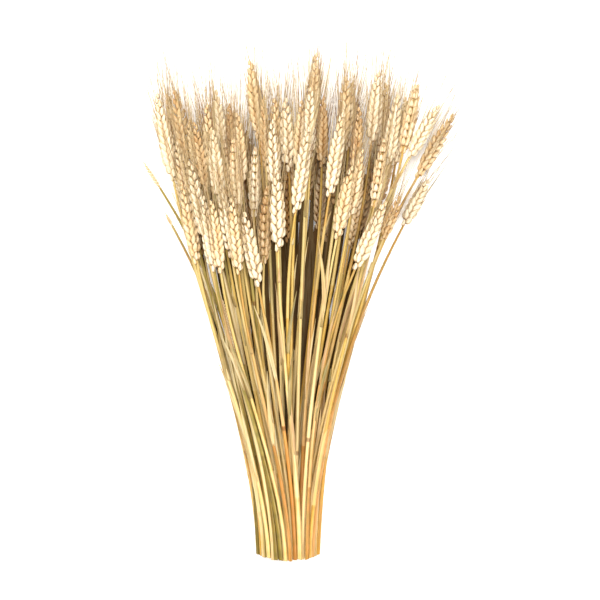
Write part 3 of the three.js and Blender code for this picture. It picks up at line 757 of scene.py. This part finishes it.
def grow_ribbon(bm, spine, half_at, turn_at, tone_value, inner_shade_value=0):
    """A thin strip of leaf with a folded midrib: its half width and its turn follow its length."""
    turn, reach, tone, along, inner = layers_of(bm, "turn", "reach", "tone", "along", "inner")
    # The inner value paints shade on a leaf inside the bundle and flattens its fold.
    fold = LEAF_FOLD * (1 - LITTER_FLATTER * inner_shade_value)
    row = [bm.verts.new((k, 0, 0)) for k in (-1, 0, 1)]
    edges = [bm.edges.new(row[:2]), bm.edges.new(row[1:])]
    for v, share in zip(row, (0, 0.5, 1)):
        v[turn] = share
    faces = []
    steps = len(spine) - 1
    for k, middle in enumerate(spine):
        if k:
            grown = bmesh.ops.extrude_edge_only(bm, edges=edges)["geom"]
            row = [g for g in grown if isinstance(g, bmesh.types.BMVert)]
            edges = [g for g in grown if isinstance(g, bmesh.types.BMEdge)]
            faces += [g for g in grown if isinstance(g, bmesh.types.BMFace)]
        t = k / steps
        direction = (spine[min(k + 1, steps)] - spine[max(k - 1, 0)]).normalized()
        side = Matrix.Rotation(turn_at(t), 3, direction) @ direction.cross(Vector((0, 0, 1))).normalized()
        up = side.cross(direction)
        for v in row:
            aside = 2 * v[turn] - 1
            v.co = middle + side * (aside * half_at(t)) + up * (fold * half_at(t) * aside**2)
            v[reach], v[tone], v[along], v[inner] = middle.y, tone_value, t, inner_shade_value
    unroll(bm, faces, 2 * half_at(0.3))
    thickened = bmesh.ops.solidify(bm, geom=faces, thickness=LEAF_THICKNESS)["geom"]
    skin = faces + [g for g in thickened if isinstance(g, bmesh.types.BMFace)]
    for face in skin:
        face.material_index = LEAF
    bmesh.ops.recalc_face_normals(bm, faces=skin)


def grow_blade(bm, stalk, start, drift, length, width):
    """A dry blade that follows the node's own blade and curls at the end."""
    points = node_corners[stalk.name]
    knots = []
    for i in range(BLADE_STEPS + 1):
        t = i / BLADE_STEPS
        y = start + length * t
        x = stalk.across(y) + drift * t**1.6
        near = points[at_place(points, y, 0.05) & (np.abs(points[:, 0] - x) < width * 0.8)]
        z = near[:, 2].mean() if i > 1 and len(near) else stalk.height(y) + stalk.radius(y) * (0.7 + 0.5 * i)
        knots.append(Vector((x, y, z)))
    spine = []
    for k in range(BLADE_STEPS * BLADE_FINER + 1):
        i = min(k // BLADE_FINER, BLADE_STEPS - 1)
        spine.append(knots[i].lerp(knots[i + 1], k / BLADE_FINER - i))

    def half_at(t):
        return width / 2 * (0.45 + 1.0 * math.sqrt(t) * (1 - t) + 0.2 * (1 - t)) * (1 - 0.75 * t**6)

    def turn_at(t):
        return 0.9 * math.sin(3.1 * t + 6 * stalk.draw("blade_turn")) * t

    grow_ribbon(bm, spine, half_at, turn_at, stalk.draw("blade_tone"))


def standing_off(stalk, y, bearing, away, drift=0):
    """A point so far from the straw's middle on a bearing round it, moved across by a drift."""
    return stalk.point(y) + Vector((math.cos(bearing) * away + drift, 0, math.sin(bearing) * away))


def grow_strip(bm, stalk, k):
    """A narrow dry leaf that clings to the straw, then stands off it and drifts aside."""
    start, length = stalk.measure("strip_start", k), stalk.measure("strip_length", k)
    if start + length > stalk.foot[1] + STRIP_PAST_FOOT:
        return
    lift, bearing = stalk.measure("strip_lift", k), stalk.measure("strip_bearing", k)
    width, drift = stalk.measure("strip_width", k), stalk.measure("strip_drift", k)
    spine = []
    for i in range(STRIP_STEPS + 1):
        t = i / STRIP_STEPS
        y = start + length * t
        spine.append(standing_off(stalk, y, bearing, stalk.radius(y) + 0.25 + lift * t**3, drift * t**2))

    def half_at(t):
        return width / 2 * (0.5 + 0.8 * math.sin(math.pi * min(1, 1.1 * t))) * (1 - 0.8 * t**5)

    def turn_at(t):
        return math.pi / 2 - bearing + stalk.measure("strip_turn", k) * t**2

    grow_ribbon(bm, spine, half_at, turn_at, stalk.draw("strip_tone", k), stalk.inner)


def grow_shade_litter(bm, stalk, k):
    """A broad dry leaf inside the bundle, painted dark as shade, which fills the room between the hidden
    straws.
    """
    start, length = stalk.measure("litter_start", k), stalk.measure("litter_length", k)
    end = min(start + length, stalk.foot[1] + LITTER_PAST_FOOT)
    width, drift = stalk.measure("litter_width", k), stalk.measure("litter_drift", k)
    if stalk.depth == 1:
        width, drift = width * LITTER_AT_EDGE[0], drift * LITTER_AT_EDGE[1]
    spine = []
    for i in range(STRIP_STEPS + 1):
        t = i / STRIP_STEPS
        y = between(start, end, t)
        spine.append(stalk.point(y) + Vector((drift * t**1.5, 0, 0.7 * stalk.radius(y))))

    def half_at(t):
        return width / 2 * (0.4 + 0.6 * math.sin(math.pi * min(1, 1.3 * t + 0.1))) * (1 - 0.6 * t**6)

    def turn_at(t):
        return stalk.measure("litter_turn", k) * t

    grow_ribbon(bm, spine, half_at, turn_at, stalk.draw("litter_tone", k), 1)


def grow_flap(bm, stalk, end, k):
    """The torn end of a sheath: a short tongue that stands off the straw."""
    length, lift = stalk.measure("flap_length", k), stalk.measure("flap_lift", k)
    bearing = stalk.measure("flap_bearing", k)
    spine = []
    for i in range(FLAP_STEPS + 1):
        t = i / FLAP_STEPS
        y = end - FLAP_OVERLAP + length * t
        spine.append(standing_off(stalk, y, bearing, stalk.radius(y) + 0.1 + lift * t**1.6))

    def half_at(t):
        return 1.15 * (1 - 0.75 * t**1.4)

    def turn_at(t):
        return math.pi / 2 - bearing + stalk.measure("flap_turn", k) * t

    grow_ribbon(bm, spine, half_at, turn_at, stalk.draw("flap_tone", k))


def straw_tone(stalk):
    """Where the straw stands between cream, golden, ruddy and olive."""
    kind, spread = stalk.draw("straw_kind"), stalk.draw("straw_tone")
    if stalk.tone != "green":
        for most, tones in STRAW_KINDS:
            if kind < most:
                return between(*tones, spread)
    return between(*OLIVE, spread)


def grow_stalk(stalk):
    """The stalk as its own mesh, in the row frame in metres."""
    bm = new_mesh()
    tone, inner, reach = layers_of(bm, "tone", "inner", "reach")
    rings, sheath_ends = straw_rings(stalk)
    foot, tip, axis, _, _ = ear_frame(stalk)
    for share, radius in EAR_STEM:
        middle = foot.lerp(tip, share)
        rings.append((middle, axis, radius * stalk.half_width / FULL_HALF_WIDTH, 0, middle.y, 0, STRAW))
    tube(bm, rings, STRAW_SIDES)
    # Painted shade: a straw inside the bundle is darkened, fading in from its cut end.
    straw_place, (fade_start, fade_span) = straw_tone(stalk), INNER_SHADE_FADE
    for v in bm.verts:
        v[tone], v[inner] = straw_place, stalk.inner * min(1, max(0, (v[reach] - fade_start) / fade_span))
    if stalk.name in BLADES:
        grow_blade(bm, stalk, *BLADES[stalk.name])
    if not stalk.joined:
        for k, end in enumerate(sheath_ends):
            if stalk.draw("flap", k) < FLAP_SHARE:
                grow_flap(bm, stalk, end, k)
    for k in range(1 if stalk.joined else int(stalk.measure("strips"))):
        grow_strip(bm, stalk, k)
    # Inside the bundle, dark leaves fill the gaps as painted shade.
    for k in range(SHADE_LITTER_LEAVES if stalk.inner else 0):
        grow_shade_litter(bm, stalk, k)
    before = len(bm.verts)
    grow_ear(bm, stalk)
    bm.verts.ensure_lookup_table()
    # The ear takes the stalk's painted shade too.
    for v in bm.verts[before:]:
        v[inner] = stalk.inner
    for face in bm.faces:
        face.smooth = True
    low, high = cad_low / MM - to_row, cad_high / MM - to_row
    for v in bm.verts:
        v.co = Vector(min(max(c, a), b) for c, a, b in zip(v.co, low, high))
    bmesh.ops.translate(bm, vec=to_row, verts=bm.verts)
    bmesh.ops.scale(bm, vec=(MM, MM, MM), verts=bm.verts)
    return bm


def linear(hex_text):
    """An sRGB hex colour as the linear values that sockets take."""
    channels = [int(hex_text[i:i + 2], 16) / 255 for i in (1, 3, 5)]
    return (*(c / 12.92 if c <= 0.04045 else ((c + 0.055) / 1.055) ** 2.4 for c in channels), 1)


def add(tree, kind, values=None, links=None, **settings):
    """Adds a node with its settings, the values of its sockets and the links into them."""
    made = tree.nodes.new(kind)
    for key, value in settings.items():
        setattr(made, key, value)
    for key, value in (values or {}).items():
        made.inputs[key].default_value = value
    for key, source in (links or {}).items():
        tree.links.new(source, made.inputs[key])
    return made


def fill_ramp(ramp, stops):
    """Sets a colour ramp's stops: place and sRGB hex colour."""
    elements = ramp.color_ramp.elements
    while len(elements) < len(stops):
        elements.new(0.5)
    for element, (place, hex_text) in zip(elements, stops):
        element.position, element.color = place, linear(hex_text)


def new_material(name):
    material = bpy.data.materials.new(name)
    material.use_nodes = True
    material.node_tree.nodes.clear()
    return material, material.node_tree


def streaks(tree, across_mm, along_mm, detail, tone):
    """Streaks along the grain, so wide and so long; each stalk or husk has its own."""
    grain = add(tree, "ShaderNodeUVMap", uv_map="grain")
    scale = (1 / across_mm, 1 / along_mm, 1)
    placed = add(tree, "ShaderNodeMapping", {"Scale": scale}, {"Vector": grain.outputs["UV"]})
    shift = add(tree, "ShaderNodeMath", {1: 97.0}, {0: tone}, operation="MULTIPLY")
    return add(tree, "ShaderNodeTexNoise", {"Scale": 1.0, "Detail": detail, "Roughness": 0.6},
               {"Vector": placed.outputs["Vector"], "W": shift.outputs[0]}, noise_dimensions="4D")


def tint(tree, colour, hex_text, low, high, most, value):
    """Mixes a colour in where a value goes from low to high, by so much at most."""
    share = add(tree, "ShaderNodeMapRange", {"From Min": low, "From Max": high, "To Max": most},
                {"Value": value}, interpolation_type="SMOOTHSTEP")
    mixed = add(tree, "ShaderNodeMix", {7: linear(hex_text)}, {0: share.outputs["Result"], 6: colour},
                data_type="RGBA")
    return mixed.outputs[2]


def dry_plant(name, tones, dark, light, streak_share, sizes, roughness, bump, bands=()):
    """A dry plant skin: its tone along a ramp, dark and light streaks with their relief, then bands, each
    a layer's name, a colour, the layer's values between which it comes in, and the most of it."""
    material, tree = new_material(name)
    tone = add(tree, "ShaderNodeAttribute", attribute_name="tone").outputs["Fac"]
    fine = streaks(tree, *sizes[0], 3, tone).outputs["Fac"]
    broad = streaks(tree, *sizes[1], 2, tone).outputs["Fac"]
    place = add(tree, "ShaderNodeTexCoord")
    patch = add(tree, "ShaderNodeTexNoise", {"Scale": 1 / (PATCH * MM), "Detail": 2},
                {"Vector": place.outputs["Object"]})
    wander = add(tree, "ShaderNodeMath", {1: PATCH_SHARE, 2: -PATCH_SHARE / 2}, {0: patch.outputs["Fac"]},
                 operation="MULTIPLY_ADD")
    moved = add(tree, "ShaderNodeMath", links={0: tone, 1: wander.outputs[0]}, operation="ADD")
    ramp = add(tree, "ShaderNodeValToRGB", links={"Fac": moved.outputs[0]})
    fill_ramp(ramp, tones)
    colour = ramp.outputs["Color"]
    colour = tint(tree, colour, light, 0.5, 0.3, streak_share, broad)
    colour = tint(tree, colour, dark, 0.52, 0.7, streak_share, broad)
    colour = tint(tree, colour, dark, 0.5, 0.68, streak_share, fine)
    layers = {}
    for layer, hex_text, low, high, most in bands:
        if layer not in layers:
            layers[layer] = add(tree, "ShaderNodeAttribute", attribute_name=layer).outputs["Fac"]
        colour = tint(tree, colour, hex_text, low, high, most, layers[layer])
    relief = add(tree, "ShaderNodeBump", {"Strength": bump, "Distance": 0.1 * MM}, {"Height": fine})
    gloss = add(tree, "ShaderNodeMapRange", {"To Min": roughness - 0.08, "To Max": roughness + 0.12},
                {"Value": broad})
    skin = add(tree, "ShaderNodeBsdfPrincipled", {"IOR": 1.45, "Specular IOR Level": SHEEN},
               {"Base Color": colour, "Roughness": gloss.outputs["Result"],
                "Normal": relief.outputs["Normal"]})
    # Where shade is painted inside the bundle, the sheen fades out too.
    if "inner" in layers:
        shaded_sheen = add(tree, "ShaderNodeMapRange", {"To Min": SHEEN, "To Max": 0}, {"Value": layers["inner"]})
        tree.links.new(shaded_sheen.outputs["Result"], skin.inputs["Specular IOR Level"])
    add(tree, "ShaderNodeOutputMaterial", links={"Surface": skin.outputs["BSDF"]})
    return material


# Wheat straw, air-dried: a waxy skin that is smooth and a little glossy, with fibres that run its length.
# Golden at the cut, faded and more olive further up, brown at a joint, and painted dark and dull inside the
# bundle as shade. The fibres are drawn twice as coarse as they are, to show at all.
straw = dry_plant(
    "straw_waxed",
    [(0.0, "#e0c38a"), (0.2, "#d2af63"), (0.42, "#c5973c"), (0.64, "#bf823f"), (0.84, "#8d772f"),
     (1.0, "#72632a")],
    "#643c0c", "#e2c58c", 0.5, [(0.6, 50), (1.7, 120)], 0.34, 0.35,
    [("reach", "#9e8c45", 60, 240, 0.42), ("mark", "#683b12", 0, 1, 0.7), ("inner", "#2e1906", 0, 1, 0.9)])

# Leaf sheath: the dull, ribbed wrapping of the straw, with no wax left, painted dark inside the bundle as
# shade.
sheath = dry_plant(
    "leaf_sheath",
    [(0.0, "#dac48e"), (0.4, "#cfad6a"), (0.66, "#c69a61"), (0.9, "#948240"), (1.0, "#7b6e36")],
    "#765420", "#dccc99", 0.5, [(0.5, 60), (1.5, 90)], 0.58, 0.55,
    [("reach", "#9f8d4a", 80, 240, 0.5), ("inner", "#301b07", 0, 1, 0.9)])

# Inside of the straw: a dry hollow, painted dark as the shade in it.
hollow = dry_plant(
    "straw_hollow_shade", [(0.0, "#7a5c34"), (1.0, "#5c4224")],
    "#3a2814", "#8a6a40", 0.5, [(0.3, 6), (1, 10)], 0.8, 0.3)

# Chaff: papery husks, nerved from foot to tip, browner at the point. Painted shade darkens the margins, and
# most the foot that the husk below covers; the husks inside the bundle are painted a dark brown as shade.
chaff = dry_plant(
    "wheat_chaff",
    [(0.0, "#e7ddc2"), (0.3, "#e2d1b0"), (0.55, "#d9c096"), (0.8, "#c9a676"), (1.0, "#b08558")],
    "#946a2e", "#e9e3cc", 0.34, [(0.5, 9), (1.4, 6)], 0.55, 0.5,
    [("mark", "#94672a", 0.62, 1.0, 0.54), ("along", "#ab732a", 0.5, 0.1, 0.5),
     ("along", "#592f08", 0.24, 0.06, 0.8), ("along", "#9a7036", 0.86, 1.0, 0.4),
     ("inner", "#744c1a", 0, 1, 0.6)])

# Awn: a stiff hair of the same stuff, barbed too finely to show, paler or greyer from one to the next.
awn = dry_plant(
    "wheat_awn", [(0.0, "#cab689"), (0.5, "#b99c70"), (0.75, "#987757"), (1.0, "#6d5243")],
    "#7f5e3d", "#d5c5a0", 0.2, [(0.3, 12), (1, 30)], 0.55, 0.2)

# Leaf blade: thin and dry, parallel veins, faded unevenly from cream to a dusty pink, painted dark brown as
# shade where it lies inside the bundle.
leaf = dry_plant(
    "dry_blade",
    [(0.0, "#cabb91"), (0.35, "#c2aa76"), (0.6, "#ba956c"), (0.8, "#a98a57"), (1.0, "#85794b")],
    "#79582c", "#cec09f", 0.45, [(0.5, 26), (1.2, 40)], 0.66, 0.6, [("inner", "#301b07", 0, 1, 0.9)])

finishes = {STRAW: straw, SHEATH: sheath, HOLLOW: hollow, HUSK: chaff, AWN: awn, LEAF: leaf}

for name, tone, members in units:
    whole = grow_stalk(members[0])
    for stalk in members[1:]:
        passing = kept_shape("passing", grow_stalk(stalk))
        whole.from_mesh(passing)
        bpy.data.meshes.remove(passing)
    mesh = kept_shape("wheat_" + name, whole)
    for place in sorted(finishes):
        mesh.materials.append(finishes[place])
    piece = bpy.data.objects.new("wheat_" + name, mesh)
    bpy.context.scene.collection.objects.link(piece)
    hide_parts(name)
    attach(piece, "root")

for shape in (lemma, glume, plain_husk, *awns):
    bpy.data.meshes.remove(shape)


def lay_floor():
    """A plain white card, faintly lit from below, so that the bundle's shadows fade as in the photo."""
    material, tree = new_material("studio_card")
    place = add(tree, "ShaderNodeTexCoord")
    tooth = add(tree, "ShaderNodeTexNoise", {"Scale": 1 / (3 * MM), "Detail": 2},
                {"Vector": place.outputs["Object"]})
    relief = add(tree, "ShaderNodeBump", {"Strength": 0.03, "Distance": 0.05 * MM},
                 {"Height": tooth.outputs["Fac"]})
    card = add(tree, "ShaderNodeBsdfPrincipled",
               {"Base Color": linear("#f5f4f3"), "Roughness": 0.85, "Emission Color": linear("#fffdf8"),
                "Emission Strength": 0.22}, {"Normal": relief.outputs["Normal"]})
    add(tree, "ShaderNodeOutputMaterial", links={"Surface": card.outputs["BSDF"]})
    bm = bmesh.new()
    bmesh.ops.create_grid(bm, x_segments=2, y_segments=2, size=FLOOR_HALF)
    bmesh.ops.translate(bm, vec=(0, 0, cad_low.z - FLOOR_GAP), verts=bm.verts)
    mesh = kept_shape("floor", bm)
    mesh.materials.append(material)
    floor = bpy.data.objects.new("floor", mesh)
    bpy.context.scene.collection.objects.link(floor)


def hang_light(name, place, size, power, hex_text):
    """A round softbox that faces the bundle's middle: place and size in metres, power in watts."""
    lamp = bpy.data.lights.new(name, "AREA")
    lamp.shape, lamp.size, lamp.energy, lamp.color = "DISK", size, power, linear(hex_text)[:3]
    light = bpy.data.objects.new(name, lamp)
    light.location = place
    light.rotation_mode = "QUATERNION"
    light.rotation_quaternion = (-Vector(place)).to_track_quat("-Z", "Y")
    bpy.context.scene.collection.objects.link(light)


def set_camera():
    """Straight above the bundle, framed as the photograph is."""
    camera = bpy.data.cameras.new("camera")
    camera.sensor_width = SENSOR
    camera.lens = SENSOR * (CAMERA_HEIGHT - PHOTO_LEVEL) / (PHOTO_SCALE * 2 * PHOTO_MIDDLE)
    camera.clip_start, camera.clip_end = 0.05, 20
    eye = bpy.data.objects.new("camera", camera)
    aim_x, aim_y = (PHOTO_MIDDLE - BASE_PX) * PHOTO_SCALE, (CUT_PX - PHOTO_MIDDLE) * PHOTO_SCALE
    eye.location = (Vector((aim_x, aim_y, CAMERA_HEIGHT)) + to_row) * MM
    bpy.context.scene.collection.objects.link(eye)
    bpy.context.scene.camera = eye


def set_world():
    """A dim white room, and plain colours without a film look."""
    world = bpy.data.worlds.new("studio")
    world.use_nodes = True
    sky = world.node_tree.nodes["Background"].inputs
    sky["Color"].default_value, sky["Strength"].default_value = linear("#ffffff"), 0.1
    scene = bpy.context.scene
    scene.world = world
    scene.view_settings.view_transform, scene.view_settings.look = "Standard", "None"


lay_floor()
hang_light("softbox_left", (-0.75, 0.7, 1.35), 0.9, 33, "#fffbf4")
hang_light("softbox_right", (0.75, -0.3, 1.4), 0.9, 23, "#fffdfa")
hang_light("softbox_above", (0, 0.2, 3.4), 0.6, 72, "#fffdfa")
set_camera()
set_world()
